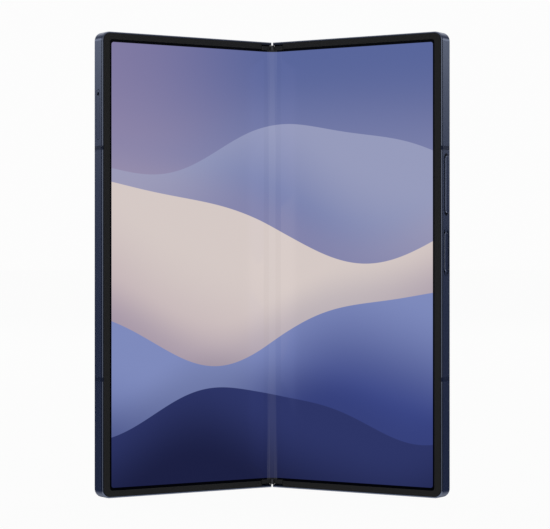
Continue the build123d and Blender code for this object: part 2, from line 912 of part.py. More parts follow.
def usb_shell():
    z = (port_sunk, port_sunk + port_depth)
    shell = port_outline(0, z)
    return shell - port_outline(-port_wall, (port_sunk - past, z[1] - port_wall))


def usb_tongue():
    start = port_sunk + port_depth - port_wall - tongue_length
    return block((port_x - tongue_width / 2, port_x + tongue_width / 2),
                 (key_middle_y - tongue_thickness / 2, key_middle_y + tongue_thickness / 2),
                 (start, port_sunk + port_depth - port_wall))


# ---- insides ----
def battery(z, cell_thickness):
    start = web_back_y + cell_gap
    body = block(battery_x, (start, start + cell_thickness), z)
    return fillet(body.edges().filter_by(Axis.Z), cell_thickness / 4)


def board(x, z, places):
    body = block(x, (web_back_y, web_back_y + board_thickness), z)
    for hole_x, hole_z in places:
        body -= disc(hole_x, hole_z, screw_radius + screw_gap, (0, back_y))
    return body


def right_board_screws():
    return board_screw_places(main_board_x, main_board_z)


def bottom_board_screws():
    return board_screw_places(bottom_board_x, bottom_board_z)[2:]


def left_board_screws():
    return board_screw_places(second_board_x, second_board_z)


def board_screws(places):
    screws = []
    seat = web_back_y + board_thickness
    for x, z in places:
        screw = disc(x, z, screw_radius, (web_back_y - board_screw_bite, seat))
        screws.append(screw + disc(x, z, screw_head_radius, (seat, seat + board_screw_head)))
    return group(*screws)


def shield_can():
    x = (main_board_x[0] + can_margin, main_board_x[1] - can_margin)
    z = (main_board_z[0] + can_margin, main_board_z[1] - can_margin)
    y = web_back_y + board_thickness
    can = block(x, (y, y + can_height), z)
    inside = block((x[0] + can_wall, x[1] - can_wall), (y - past, y + can_height - can_wall),
                   (z[0] + can_wall, z[1] - can_wall))
    return can - inside


def loudspeaker(z):
    start = web_back_y
    return block(speaker_x, (start, seat_y - panel_thickness - cell_gap), z)


def vibration_motor():
    body = block(motor_x, (web_back_y, web_back_y + motor_thickness), motor_z)
    return fillet(body.edges().filter_by(Axis.X), motor_thickness / 4)


def charging_coil():
    back = web_back_y + cell_gap + right_battery_thickness
    middle = (right_battery_z[0] + right_battery_z[1]) / 2
    ring = disc(coil_x, middle, coil_outer, (back, back + coil_thickness))
    return ring - disc(coil_x, middle, coil_inner, (back - past, back + coil_thickness + past))


# ---- build ----
def save_spine():
    save("spine_cover", spine_cover())
    save("spine_cap_bottom", stay(spine_cap()))
    save("spine_cap_top", stay(other_end(spine_cap())))
    save("hinge_bracket_bottom", stay(hinge_bracket()))
    save("hinge_bracket_top", stay(other_end(hinge_bracket())))
    save("bracket_screws", bracket_screws())
    save("friction_washers", friction_washers())
    save("hinge_ribbon_cable", ribbon_cable())
    save("screen_fold", screen_fold())


def save_both_sides():
    for side, fold, start in (("right", fold_right, right_arm_z), ("left", fold_left, left_arm_z)):
        save(f"{side}_rim", fold(rim()))
        save(f"{side}_screen", fold(screen_panel()))
        save(f"{side}_end_guards", fold(end_guards()))
        save(f"{side}_rotor_arms", fold(rotor_arms(start)))
        save(f"{side}_hinge_screws", fold(arm_screws(start)))
        save(f"{side}_antenna_bands", fold(band_pieces()))
        save(f"{side}_wing_plate", fold(wing_plate()))


def save_gears():
    half_pitch = 180 / gear_teeth
    save("right_sync_gears", sync_gears(1, half_pitch))
    save("left_sync_gears", sync_gears(-1, 0))
    save("right_idler_gears", idler_gears(1, 0))
    save("left_idler_gears", idler_gears(-1, half_pitch))


def save_right():
    save("right_frame", fold_right(right_frame()))
    save("rear_glass", fold_right(rear_glass()))
    save("rear_gasket", fold_right(back_gasket()))
    save("camera_deck", fold_right(camera_deck()))
    save("lens_rings", fold_right(lens_rings()))
    save("lens_glasses", fold_right(lens_glasses()))
    save("camera_modules", fold_right(camera_modules()))
    save("flash_window", fold_right(flash_window()))
    save("right_battery", fold_right(battery(right_battery_z, right_battery_thickness)))
    save("main_board", fold_right(board(main_board_x, main_board_z, right_board_screws())))
    save("bottom_board", fold_right(board(bottom_board_x, bottom_board_z, bottom_board_screws())))
    save("right_board_screws", fold_right(board_screws(right_board_screws() + bottom_board_screws())))
    save("shield_can", fold_right(shield_can()))
    speaker_z = (outer_wall + cell_gap, outer_wall + speaker_length)
    save("loudspeaker", fold_right(loudspeaker(speaker_z)))
    save("usb_shell", fold_right(usb_shell()))
    save("usb_tongue", fold_right(usb_tongue()))
    save("vibration_motor", fold_right(vibration_motor()))
    save("charging_coil", fold_right(charging_coil()))
    save("key_switches", fold_right(key_switches()))
    save("volume_rocker", fold_right(volume_rocker()))
    save("side_key", fold_right(side_key()))


def save_left():
    save("left_frame", fold_left(left_frame()))
    save("cover_glass", fold_left(back_glass()))
    save("cover_gasket", fold_left(back_gasket()))
    save("cover_panel", fold_left(cover_panel()))
    save("cover_camera", fold_left(cover_camera()))
    save("left_battery", fold_left(battery(left_battery_z, left_battery_thickness)))
    save("second_board", fold_left(board(second_board_x, second_board_z, left_board_screws())))
    save("left_board_screws", fold_left(board_screws(left_board_screws())))
    speaker_z = (height - outer_wall - speaker_length, height - outer_wall - cell_gap)
    save("earpiece_speaker", fold_left(loudspeaker(speaker_z)))
    save("card_reader", fold_left(card_reader()))
    save("card_tray", fold_left(card_tray()))


save_spine()
save_both_sides()
save_gears()
save_right()
save_left()
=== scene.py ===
import json
import math

import bmesh
import bpy
from mathutils import Matrix, Vector

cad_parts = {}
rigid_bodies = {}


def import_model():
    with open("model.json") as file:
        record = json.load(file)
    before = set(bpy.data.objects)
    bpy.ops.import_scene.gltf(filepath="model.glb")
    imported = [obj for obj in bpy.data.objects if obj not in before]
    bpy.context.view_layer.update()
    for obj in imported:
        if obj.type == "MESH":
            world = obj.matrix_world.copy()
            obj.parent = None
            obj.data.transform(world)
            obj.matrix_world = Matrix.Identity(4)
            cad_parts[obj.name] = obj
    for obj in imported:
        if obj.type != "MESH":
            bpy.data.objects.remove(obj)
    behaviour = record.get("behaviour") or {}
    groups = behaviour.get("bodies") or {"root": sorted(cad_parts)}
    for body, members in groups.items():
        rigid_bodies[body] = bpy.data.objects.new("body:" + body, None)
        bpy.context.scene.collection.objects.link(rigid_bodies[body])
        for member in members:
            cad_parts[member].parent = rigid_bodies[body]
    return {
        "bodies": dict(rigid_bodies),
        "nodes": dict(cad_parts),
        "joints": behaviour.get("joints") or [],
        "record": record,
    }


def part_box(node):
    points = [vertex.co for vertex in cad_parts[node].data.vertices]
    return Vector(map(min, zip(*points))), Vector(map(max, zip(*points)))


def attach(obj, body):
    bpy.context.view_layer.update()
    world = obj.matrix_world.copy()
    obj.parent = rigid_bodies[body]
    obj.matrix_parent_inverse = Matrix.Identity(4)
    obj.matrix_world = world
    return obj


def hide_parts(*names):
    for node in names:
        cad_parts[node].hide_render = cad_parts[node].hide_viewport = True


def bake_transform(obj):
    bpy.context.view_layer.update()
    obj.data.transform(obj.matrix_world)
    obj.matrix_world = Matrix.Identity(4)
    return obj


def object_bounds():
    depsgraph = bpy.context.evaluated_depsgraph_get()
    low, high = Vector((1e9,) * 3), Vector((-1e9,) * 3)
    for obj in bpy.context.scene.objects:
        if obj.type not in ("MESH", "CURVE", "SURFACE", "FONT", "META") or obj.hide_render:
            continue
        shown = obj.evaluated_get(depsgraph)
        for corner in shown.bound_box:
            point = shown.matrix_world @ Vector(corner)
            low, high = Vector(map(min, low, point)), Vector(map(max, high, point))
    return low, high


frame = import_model()
bpy.context.view_layer.update()
cad_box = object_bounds()
cad = frame["nodes"]
MM = 0.001


# ---- the folded phone's own measures, in millimetres unless a name says otherwise ----
def joint(name):
    return next(j for j in frame["joints"] if j["name"] == name)


fold_axis = Vector(joint("right_fold")["pos_m"]) / MM
half_turn = -math.radians(joint("right_fold")["range_deg"][0])
fold_depth = 0.85
back_depth = 5.3
side_face = 66.65
front_polish, back_chamfer = 0.25, 0.35
seam_flat = 5.0
seam_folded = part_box("right_screen")[0].x / MM
phone_height = (cad_box[1].z - cad_box[0].z) / MM
picture_half_width = 63.0
picture_end_gap = 3.38
picture_corner = 0.8
ring_radius = 6.4
key_half_width = 1.0
end_wall_inside = 0.9
hinge_side = 5.0
weld = 0.001
along_half = Vector((math.cos(half_turn), -math.sin(half_turn), 0))
back_out = Vector((math.sin(half_turn), math.cos(half_turn), 0))


# ---- small tools for node trees ----
def srgb(red, green, blue):
    def linear(c):
        c = c / 255
        return c / 12.92 if c <= 0.04045 else ((c + 0.055) / 1.055) ** 2.4
    return (linear(red), linear(green), linear(blue), 1.0)


class Recipe:
    """A node tree being written. Each call adds one node and gives back its output socket."""

    def __init__(self, tree):
        self.tree = tree

    def put(self, socket, value):
        if isinstance(value, bpy.types.NodeSocket):
            self.tree.links.new(value, socket)
        else:
            socket.default_value = value

    def node(self, kind, inputs, output=0, **settings):
        made = self.tree.nodes.new(kind)
        for key, value in settings.items():
            setattr(made, key, value)
        for key, value in inputs.items():
            self.put(made.inputs[key], value)
        return made.outputs[output]

    def math(self, operation, a, b=0.0):
        return self.node("ShaderNodeMath", {0: a, 1: b}, operation=operation)

    def vector(self, operation, a, b=(0, 0, 0)):
        return self.node("ShaderNodeVectorMath", {0: a, 1: b}, operation=operation)

    def length(self, a):
        return self.node("ShaderNodeVectorMath", {0: a}, 1, operation="LENGTH")

    def split(self, vector):
        made = self.tree.nodes.new("ShaderNodeSeparateXYZ")
        self.put(made.inputs[0], vector)
        return made.outputs[0], made.outputs[1], made.outputs[2]

    def join(self, x, y, z):
        return self.node("ShaderNodeCombineXYZ", {0: x, 1: y, 2: z})

    def step(self, value, low, high):
        """0 below low, 1 above high, smooth between them. low may be the larger one."""
        return self.node("ShaderNodeMapRange", {"Value": value, "From Min": low, "From Max": high},
                         interpolation_type="SMOOTHSTEP")

    def blend(self, factor, a, b):
        return self.node("ShaderNodeMix", {0: factor, 6: a, 7: b}, 2, data_type="RGBA")

    def level(self, factor, a, b):
        return self.node("ShaderNodeMix", {0: factor, 2: a, 3: b}, 0, data_type="FLOAT")

    def noise(self, vector, scale, detail=2.0):
        return self.node("ShaderNodeTexNoise", {"Vector": vector, "Scale": scale, "Detail": detail})

    def cells(self, vector, scale):
        return self.node("ShaderNodeTexVoronoi", {"Vector": vector, "Scale": scale})

    def waves(self, value, pitch):
        """A smooth wave from 0 to 1 with this pitch."""
        turn = self.math("MULTIPLY", value, 2 * math.pi / pitch)
        return self.math("MULTIPLY_ADD", self.math("SINE", turn), 0.5)

    def bump(self, height, distance, strength=1.0):
        return self.node("ShaderNodeBump",
                         {"Height": height, "Distance": distance * MM, "Strength": strength})

    def group(self, group, inputs, output=0):
        made = self.tree.nodes.new("ShaderNodeGroup")
        made.node_tree = group
        for key, value in inputs.items():
            self.put(made.inputs[key], value)
        return made.outputs[output]


def new_group(name, inputs, outputs):
    """An empty shader group with named sockets, and the two ends of its tree."""
    group = bpy.data.node_groups.new(name, "ShaderNodeTree")
    kinds = {"value": "NodeSocketFloat", "vector": "NodeSocketVector", "colour": "NodeSocketColor"}
    for socket, kind in inputs.items():
        group.interface.new_socket(socket, in_out="INPUT", socket_type=kinds[kind])
    for socket, kind in outputs.items():
        group.interface.new_socket(socket, in_out="OUTPUT", socket_type=kinds[kind])
    start = group.nodes.new("NodeGroupInput").outputs
    end = group.nodes.new("NodeGroupOutput").inputs
    return group, Recipe(group), start, end


# ---- effects that several finishes share ----
def make_flat_place():
    """Where a point lies on its half laid flat: across from the hinge, behind the screen, up."""
    group, r, start, end = new_group("flat_place", {"Object": "vector"},
                                     {"Place": "vector", "Side": "value"})
    x, y, z = r.split(r.node("ShaderNodeVectorMath", {0: start["Object"], "Scale": 1 / MM},
                             operation="SCALE"))
    turned = r.node("ShaderNodeVectorRotate",
                    {"Vector": r.join(r.math("ABSOLUTE", x), y, z),
                     "Center": (fold_axis.x, fold_axis.y, 0), "Angle": half_turn},
                    rotation_type="Z_AXIS")
    r.put(end["Place"], r.vector("ADD", turned, (0, fold_depth - fold_axis.y, 0)))
    r.put(end["Side"], r.math("SIGN", x))
    return group


def make_grain():
    """Fine blasted or moulded grain, with broad faint marks of handling in the roughness."""
    group, r, start, end = new_group(
        "grain", {"Place": "vector", "Grain": "value", "Roughness": "value", "Marks": "value"},
        {"Roughness": "value", "Height": "value"})
    fine = r.node("ShaderNodeTexNoise", {"Vector": start["Place"], "Detail": 3.0,
                                         "Scale": r.math("DIVIDE", 1.0, start["Grain"])})
    broad = r.noise(r.vector("MULTIPLY", start["Place"], (0.07, 0.07, 0.03)), 1.0, 4.0)
    both = r.math("ADD", r.math("MULTIPLY", r.math("SUBTRACT", fine, 0.5), 0.5),
                  r.math("SUBTRACT", broad, 0.5))
    r.put(end["Roughness"], r.math("ADD", start["Roughness"], r.math("MULTIPLY", both, start["Marks"])))
    r.put(end["Height"], fine)
    return group


def make_brushed():
    """Fine lines along the height, as rolled or brushed sheet has."""
    group, r, start, end = new_group("brushed", {"Place": "vector", "Spacing": "value"},
                                     {"Lines": "value"})
    drawn_out = r.vector("MULTIPLY", start["Place"], (1.0, 1.0, 0.03))
    r.put(end["Lines"], r.node("ShaderNodeTexNoise",
                               {"Vector": drawn_out, "Detail": 3.0,
                                "Scale": r.math("DIVIDE", 1.0, start["Spacing"])}))
    return group


def make_window():
    """Distance to a rounded rectangle's edge: below 0 inside it."""
    group, r, start, end = new_group(
        "window", {"Across": "value", "Up": "value", "Half Width": "value", "Half Height": "value",
                   "Corner": "value"}, {"Distance": "value"})
    out_x = r.math("ADD", r.math("SUBTRACT", r.math("ABSOLUTE", start["Across"]), start["Half Width"]),
                   start["Corner"])
    out_z = r.math("ADD", r.math("SUBTRACT", r.math("ABSOLUTE", start["Up"]), start["Half Height"]),
                   start["Corner"])
    outside = r.length(r.join(r.math("MAXIMUM", out_x, 0.0), r.math("MAXIMUM", out_z, 0.0), 0.0))
    inside = r.math("MINIMUM", r.math("MAXIMUM", out_x, out_z), 0.0)
    r.put(end["Distance"], r.math("SUBTRACT", r.math("ADD", outside, inside), start["Corner"]))
    return group


def make_hill():
    """One rolling hill of the screen's picture, drawn over what is under it."""
    group, r, start, end = new_group(
        "hill", {"Place": "vector", "Under": "colour", "Crest": "colour", "Foot": "colour",
                 "Height": "value", "Swell": "value", "Length": "value", "Start": "value",
                 "Fall": "value"}, {"Colour": "colour"})
    across, _, up = r.split(start["Place"])
    turn = r.math("ADD", r.math("DIVIDE", r.math("MULTIPLY", across, 2 * math.pi), start["Length"]),
                  start["Start"])
    ripple = r.math("MULTIPLY", r.math("SINE", r.math("MULTIPLY", turn, 2.3)), 0.22)
    line = r.math("ADD", start["Height"],
                  r.math("MULTIPLY", r.math("ADD", r.math("SINE", turn), ripple), start["Swell"]))
    below = r.math("SUBTRACT", line, up)
    sunny = r.math("MULTIPLY", r.math("COSINE", turn), 0.28)
    fade = r.step(r.math("ADD", r.math("DIVIDE", below, start["Fall"]), sunny), 0.0, 1.0)
    slope = r.blend(fade, start["Crest"], start["Foot"])
    haze = r.math("MULTIPLY", r.step(below, -16.0, 0.0), 0.22)
    behind = r.blend(haze, start["Under"], start["Foot"])
    r.put(end["Colour"], r.blend(r.step(below, -0.08, 0.08), behind, slope))
    return group


flat_place = make_flat_place()
grain = make_grain()
brushed = make_brushed()
window = make_window()
hill = make_hill()


# ---- finishes ----
def new_finish(name, **constants):
    """A material, its recipe and its shader. Constants are set on the shader's own sockets."""
    material = bpy.data.materials.new(name)
    material.use_nodes = True
    shader = material.node_tree.nodes["Principled BSDF"]
    for socket, value in constants.items():
        shader.inputs[socket.replace("_", " ")].default_value = value
    return material, Recipe(material.node_tree), shader.inputs


def object_place(r):
    """The point's place on its half laid flat, and which side it is on."""
    where = r.node("ShaderNodeTexCoord", {}, "Object")
    made = r.tree.nodes.new("ShaderNodeGroup")
    made.node_tree = flat_place
    r.put(made.inputs["Object"], where)
    return made.outputs["Place"], made.outputs["Side"]


def add_grain(r, shader, place, size, roughness, marks, relief, lift=None, smooth=None):
    """Grain in the roughness and the relief. lift adds a height, and smooth holds the grain down."""
    made = r.tree.nodes.new("ShaderNodeGroup")
    made.node_tree = grain
    for key, value in (("Place", place), ("Grain", size), ("Roughness", roughness), ("Marks", marks)):
        r.put(made.inputs[key], value)
    r.put(shader["Roughness"], made.outputs["Roughness"])
    height = made.outputs["Height"]
    if smooth is not None:
        height = r.math("MULTIPLY", height, smooth)
    if lift is not None:
        height = r.math("ADD", height, lift)
    r.put(shader["Normal"], r.bump(height, relief))


def anodised(name, colour, polished, roughness=0.24, frame=False):
    """Blasted, dyed aluminium, its edges polished brighter. A frame gets painted shade on its inside by
    the hinge, and painted shade round its keys.
    """
    material, r, shader = new_finish(name, Metallic=1.0)
    place, side = object_place(r)
    across, depth, up = r.split(place)
    front = r.step(depth, front_polish + 0.05, front_polish - 0.05)
    back = r.step(depth, back_depth - back_chamfer - 0.02, back_depth - back_chamfer + 0.02)
    edge = r.math("ADD", front, back)
    tone = r.noise(place, 0.05, 3.0)
    body = r.blend(tone, colour, [c * 1.12 for c in colour[:3]] + [1.0])
    skin, rough = r.blend(edge, body, polished), r.level(edge, roughness, 0.15)
    if frame:
        from_middle = r.math("ABSOLUTE", r.math("SUBTRACT", up, phone_height / 2))
        inner = phone_height / 2 - end_wall_inside
        inside = r.math("MULTIPLY", r.step(across, hinge_side, hinge_side - 0.1),
                        r.step(from_middle, inner, inner - 0.08))
        # Painted shade: the frame's inside by the hinge, within the end walls, is made near black.
        skin, rough = r.blend(inside, skin, inside_painted_shade), r.level(inside, rough, 0.9)
        # Painted shade: darkens the frame round the rocker's opening and in the front of the side key's
        # recess.
        skin = r.blend(shade_at_keys(r, across, depth, up, side), skin, painted_key_shade)
    r.put(shader["Base Color"], skin)
    add_grain(r, shader, place, 0.09, rough, 0.07, 0.0003, smooth=r.math("SUBTRACT", 1.0, edge))
    return material


def depth_to(node):
    """How deep behind the screen the middle of a node of the right half lies."""
    low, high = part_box(node)
    centre = (low + high) / 2 / MM - Vector((fold_axis.x, fold_axis.y, 0))
    return fold_depth + centre.xy.dot(back_out.xy)


def from_outline(r, depth, up, key):
    """Distance to the rounded outline of a key in the right side: below 0 on the key."""
    low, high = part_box(key)
    return r.group(window, {"Across": r.math("SUBTRACT", depth, depth_to(key)),
                            "Up": r.math("SUBTRACT", up, (low.z + high.z) / 2 / MM),
                            "Half Width": key_half_width, "Corner": key_half_width,
                            "Half Height": (high.z - low.z) / 2 / MM})


def below_side(r, across):
    """1 on what lies deeper than the side face, such as the walls of an opening."""
    return r.step(across, side_face - 0.05, side_face - 0.2)


def shade_at_keys(r, across, depth, up, side):
    """Painted shade: a dark edge round the rocker's opening, and a dark front of the key's recess."""
    on_right = r.math("MULTIPLY", r.step(side, 0.0, 0.5), r.step(across, 62.0, 63.0))
    rocker_edge = r.step(from_outline(r, depth, up, "volume_rocker"), 0.65, 0.2)
    recess = r.step(from_outline(r, depth, up, "side_key"), 1.6, 1.5)
    middle = depth_to("side_key")
    front = r.step(depth, middle + 0.2, middle - 0.2)
    groove = r.math("MULTIPLY", r.math("MULTIPLY", below_side(r, across), recess), front)
    return r.math("MULTIPLY", r.math("MAXIMUM", rocker_edge, groove), on_right)


def key_metal(key):
    """Dyed aluminium, its outline polished brighter than its face, and painted shade on its sunk walls.
    """
    material, r, shader = new_finish(f"navy_{key}", Metallic=1.0)
    place, _ = object_place(r)
    across, depth, up = r.split(place)
    outline = r.step(from_outline(r, depth, up, key), -0.5, -0.3)
    tone = r.noise(place, 0.05, 3.0)
    face = r.blend(tone, key_face, [c * 1.1 for c in key_face[:3]] + [1.0])
    face = r.blend(outline, face, key_polish)
    # Painted shade on the parts of the key sunk below the side face.
    r.put(shader["Base Color"], r.blend(below_side(r, across), face, key_sunk_painted_shade))
    add_grain(r, shader, place, 0.09, r.level(outline, 0.24, 0.18), 0.05, 0.0003)
    return material


def moulded(name, colour, roughness, size=0.12, relief=0.003):
    """Moulded plastic or rubber with a fine even grain."""
    material, r, shader = new_finish(name, IOR=1.48)
    place, _ = object_place(r)
    tone = r.noise(place, 0.4, 3.0)
    r.put(shader["Base Color"], r.blend(tone, [c * 0.85 for c in colour[:3]] + [1.0], colour))
    add_grain(r, shader, place, size, roughness, 0.12, relief)
    return material


def steel(name, colour, spacing, roughness=0.3):
    """Sheet or machined steel, its lines along the height."""
    material, r, shader = new_finish(name, Metallic=1.0)
    place, _ = object_place(r)
    lines = r.group(brushed, {"Place": place, "Spacing": spacing})
    r.put(shader["Base Color"], r.blend(lines, [c * 0.8 for c in colour[:3]] + [1.0], colour))
    add_grain(r, shader, place, spacing, roughness, 0.15, 0.002, lines)
    return material


def draw_picture(r, place):
    """Soft hills under an evening sky. Place is across and up the open screen."""
    across, _, up = r.split(place)
    sky = r.blend(r.step(up, 70.0, 150.0), srgb(158, 156, 184), srgb(88, 101, 154))
    sky = r.blend(r.math("MULTIPLY", r.step(across, 10.0, -70.0), 0.4), sky, srgb(168, 146, 172))
    hills = (
        (116, 9, 150, 0.9, 46, (150, 155, 188), (110, 121, 170)),
        (93, 13, 205, 3.6, 62, (213, 201, 197), (178, 158, 170)),
        (57, 12, 168, 5.6, 44, (126, 138, 188), (58, 70, 134)),
        (27, 8, 140, 2.1, 30, (44, 52, 102), (25, 29, 64)),
    )
    for height, swell, length, start, fall, crest, foot in hills:
        sky = r.group(hill, {"Place": place, "Under": sky, "Crest": srgb(*crest), "Foot": srgb(*foot),
                             "Height": height, "Swell": swell, "Length": length, "Start": start,
                             "Fall": fall})
    return sky


def screen_finish(name, place_on_screen):
    """The lit screen behind its clear cover, with the dark border round the picture."""
    material, r, shader = new_finish(name, Roughness=0.09, IOR=1.5, Emission_Strength=1.0)
    place = place_on_screen(r)
    across, _, up = r.split(place)
    edge = r.group(window, {"Across": across, "Up": r.math("SUBTRACT", up, phone_height / 2),
                            "Half Width": picture_half_width,
                            "Half Height": phone_height / 2 - picture_end_gap,
                            "Corner": picture_corner})
    lit = r.step(edge, 0.04, -0.04)
    r.put(shader["Base Color"], r.blend(lit, srgb(9, 9, 15), srgb(14, 15, 26)))
    r.put(shader["Emission Color"], r.blend(lit, (0, 0, 0, 1), draw_picture(r, place)))
    return material


def place_by_half(r):
    place, side = object_place(r)
    across, depth, up = r.split(place)
    return r.join(r.math("MULTIPLY", across, side), depth, up)


def place_by_map(r):
    """The fold's own map holds the place on the sheet, in metres, so the picture bends with it."""
    spread = r.node("ShaderNodeUVMap", {}, uv_map="sheet")
    across, up, _ = r.split(r.node("ShaderNodeVectorMath", {0: spread, "Scale": 1 / MM},
                                   operation="SCALE"))
    return r.join(across, 0.0, up)


def frosted_glass():
    """Etched glass over a navy coat, with a faint sparkle."""
    material, r, shader = new_finish("frosted_navy", IOR=1.5, Coat_Weight=0.25, Coat_Roughness=0.3)
    place, _ = object_place(r)
    sparkle = r.step(r.cells(place, 6.0), 0.12, 0.02)
    base = r.blend(r.noise(place, 0.03, 2.0), srgb(52, 60, 88), srgb(60, 69, 99))
    r.put(shader["Base Color"], r.blend(r.math("MULTIPLY", sparkle, 0.35), base, srgb(104, 114, 146)))
    add_grain(r, shader, place, 0.06, 0.42, 0.06, 0.0008)
    return material


def cover_screen():
    """Clear glass over the dark outer screen, whose edge and camera hole just show."""
    material, r, shader = new_finish("cover_screen_glass", IOR=1.5)
    place, _ = object_place(r)
    across, _, up = r.split(place)
    panel_middle, panel_half_width, panel_half_height, panel_corner = 36.4, 26.6, 73.0, 1.6
    camera_place, hole_radius, pupil_radius = (33.5, 0.0, 146.0), 1.7, 0.9
    edge = r.group(window, {"Across": r.math("SUBTRACT", across, panel_middle),
                            "Up": r.math("SUBTRACT", up, phone_height / 2),
                            "Half Width": panel_half_width, "Half Height": panel_half_height,
                            "Corner": panel_corner})
    panel = r.step(edge, 0.05, -0.05)
    from_camera = r.length(r.vector("SUBTRACT", r.join(across, 0.0, up), camera_place))
    hole = r.step(from_camera, hole_radius + 0.05, hole_radius - 0.05)
    lens = r.step(from_camera, pupil_radius + 0.05, pupil_radius - 0.05)
    colour = r.blend(panel, srgb(8, 8, 10), srgb(15, 16, 22))
    colour = r.blend(hole, colour, srgb(2, 2, 3))
    r.put(shader["Base Color"], r.blend(lens, colour, srgb(20, 26, 52)))
    smears = r.noise(r.vector("MULTIPLY", place, (0.09, 0.09, 0.04)), 1.0, 5.0)
    r.put(shader["Roughness"], r.level(r.step(smears, 0.45, 0.8), 0.05, 0.12))
    return material


def turned_metal():
    """The lens rings: turned on a lathe, so fine circles run round each lens."""
    material, r, shader = new_finish("turned_navy", Metallic=1.0)
    place, _ = object_place(r)
    distance = from_nearest_lens(r, place)
    circles = r.waves(distance, 0.11)
    bright = r.step(distance, ring_radius - 0.34, ring_radius - 0.28)
    r.put(shader["Base Color"], r.blend(bright, srgb(74, 82, 106), srgb(116, 124, 148)))
    add_grain(r, shader, place, 0.05, 0.22, 0.06, 0.0015, circles)
    return material


def from_nearest_lens(r, place):
    """Distance across the back from the nearest of the camera's lens centres."""
    across, _, up = r.split(place)
    nearest = None
    for height in lens_heights():
        away = r.length(r.join(r.math("SUBTRACT", across, lens_across()),
                               r.math("SUBTRACT", up, height), 0.0))
        nearest = away if nearest is None else r.math("MINIMUM", nearest, away)
    return nearest


def lens_heights():
    low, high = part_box("lens_rings")
    top, bottom = high.z / MM - ring_radius, low.z / MM + ring_radius
    return (top, (top + bottom) / 2, bottom)


def across_to(node):
    """How far the middle of a node of the right half lies from the hinge, along the half."""
    low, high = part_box(node)
    centre = (low + high) / 2 / MM - Vector((fold_axis.x, fold_axis.y, 0))
    return fold_axis.x + centre.xy.dot(along_half.xy)


def lens_across():
    return across_to("lens_rings")


def lens_coating():
    """Thin clear glass with a bloom of violet coating."""
    material, r, shader = new_finish("coated_glass", IOR=1.5, Transmission_Weight=1.0, Metallic=0.0,
                                     Roughness=0.0)
    place, _ = object_place(r)
    bloom = r.noise(place, 0.1, 2.0)
    r.put(shader["Base Color"], r.blend(bloom, srgb(214, 214, 255), srgb(235, 225, 255)))
    return material


def dark_optics():
    """The camera's front element: near black, with rings of blue and green coating."""
    material, r, shader = new_finish("dark_optics", IOR=1.6, Roughness=0.03, Coat_Weight=1.0)
    place, _ = object_place(r)
    distance = from_nearest_lens(r, place)
    tint = r.blend(r.step(distance, 0.4, 1.6), srgb(46, 26, 84), srgb(12, 46, 74))
    r.put(shader["Base Color"], r.blend(r.step(distance, 1.5, 2.6), tint, srgb(4, 5, 8)))
    return material


def flash_lens():
    """A clear moulded flash lens, ribbed in circles over a pale yellow lamp."""
    material, r, shader = new_finish("flash_lens", IOR=1.5, Coat_Weight=0.6, Roughness=0.25)
    place, _ = object_place(r)
    across, _, up = r.split(place)
    flash_from_lens = 11.5
    away = r.length(r.join(r.math("SUBTRACT", across, lens_across() - flash_from_lens),
                           r.math("SUBTRACT", up, lens_heights()[0]), 0.0))
    lamp_edge = r.step(away, 0.5, 1.2)
    r.put(shader["Base Color"], r.blend(lamp_edge, srgb(236, 214, 120), srgb(232, 229, 218)))
    r.put(shader["Normal"], r.bump(r.waves(away, 0.3), 0.05))
    return material


def circuit_board():
    """Green mask over copper: runs of track, round pads, and tinned holes."""
    material, r, shader = new_finish("circuit_board", IOR=1.5)
    place, _ = object_place(r)
    across, _, up = r.split(place)
    lanes = r.step(r.waves(across, 1.3), 0.62, 0.74)
    rungs = r.step(r.waves(up, 1.7), 0.62, 0.74)
    patch = r.step(r.noise(place, 0.12, 1.0), 0.48, 0.52)
    tracks = r.level(patch, lanes, rungs)
    pads = r.step(r.cells(place, 0.55), 0.3, 0.22)
    base = r.blend(r.noise(place, 0.3, 3.0), srgb(18, 66, 44), srgb(26, 82, 56))
    colour = r.blend(tracks, base, srgb(44, 106, 70))
    r.put(shader["Base Color"], r.blend(pads, colour, srgb(206, 198, 170)))
    r.put(shader["Metallic"], pads)
    add_grain(r, shader, place, 0.2, 0.34, 0.1, 0.01, tracks)
    return material


def wound_copper():
    """Flat coil of enamelled wire, wound round and round."""
    material, r, shader = new_finish("wound_copper", Metallic=1.0)
    place, _ = object_place(r)
    low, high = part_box("charging_coil")
    centre_up = (low.z + high.z) / 2 / MM
    across, _, up = r.split(place)
    away = r.length(r.join(r.math("SUBTRACT", across, across_to("charging_coil")),
                           r.math("SUBTRACT", up, centre_up), 0.0))
    turns = r.waves(away, 0.5)
    r.put(shader["Base Color"], r.blend(turns, srgb(120, 58, 28), srgb(208, 128, 76)))
    add_grain(r, shader, place, 0.1, 0.3, 0.1, 0.05, turns)
    return material


def cell_wrap():
    """Black film drawn tight over a pouch cell, with faint creases."""
    material, r, shader = new_finish("cell_wrap", IOR=1.5)
    place, _ = object_place(r)
    creases = r.noise(r.vector("MULTIPLY", place, (0.5, 0.5, 0.06)), 1.0, 5.0)
    r.put(shader["Base Color"], r.blend(creases, srgb(20, 20, 23), srgb(42, 42, 46)))
    add_grain(r, shader, place, 0.3, 0.4, 0.15, 0.02, creases)
    return material


def amber_ribbon(name, place_on_ribbon):
    """Amber film with copper tracks side by side along it."""
    material, r, shader = new_finish(name, IOR=1.6)
    place = place_on_ribbon(r)
    up = r.split(place)[2]
    tracks = r.step(r.waves(up, 0.8), 0.45, 0.6)
    r.put(shader["Base Color"], r.blend(tracks, srgb(170, 92, 24), srgb(206, 140, 66)))
    r.put(shader["Metallic"], r.math("MULTIPLY", tracks, 0.6))
    add_grain(r, shader, place, 0.2, 0.3, 0.1, 0.01, tracks)
    return material


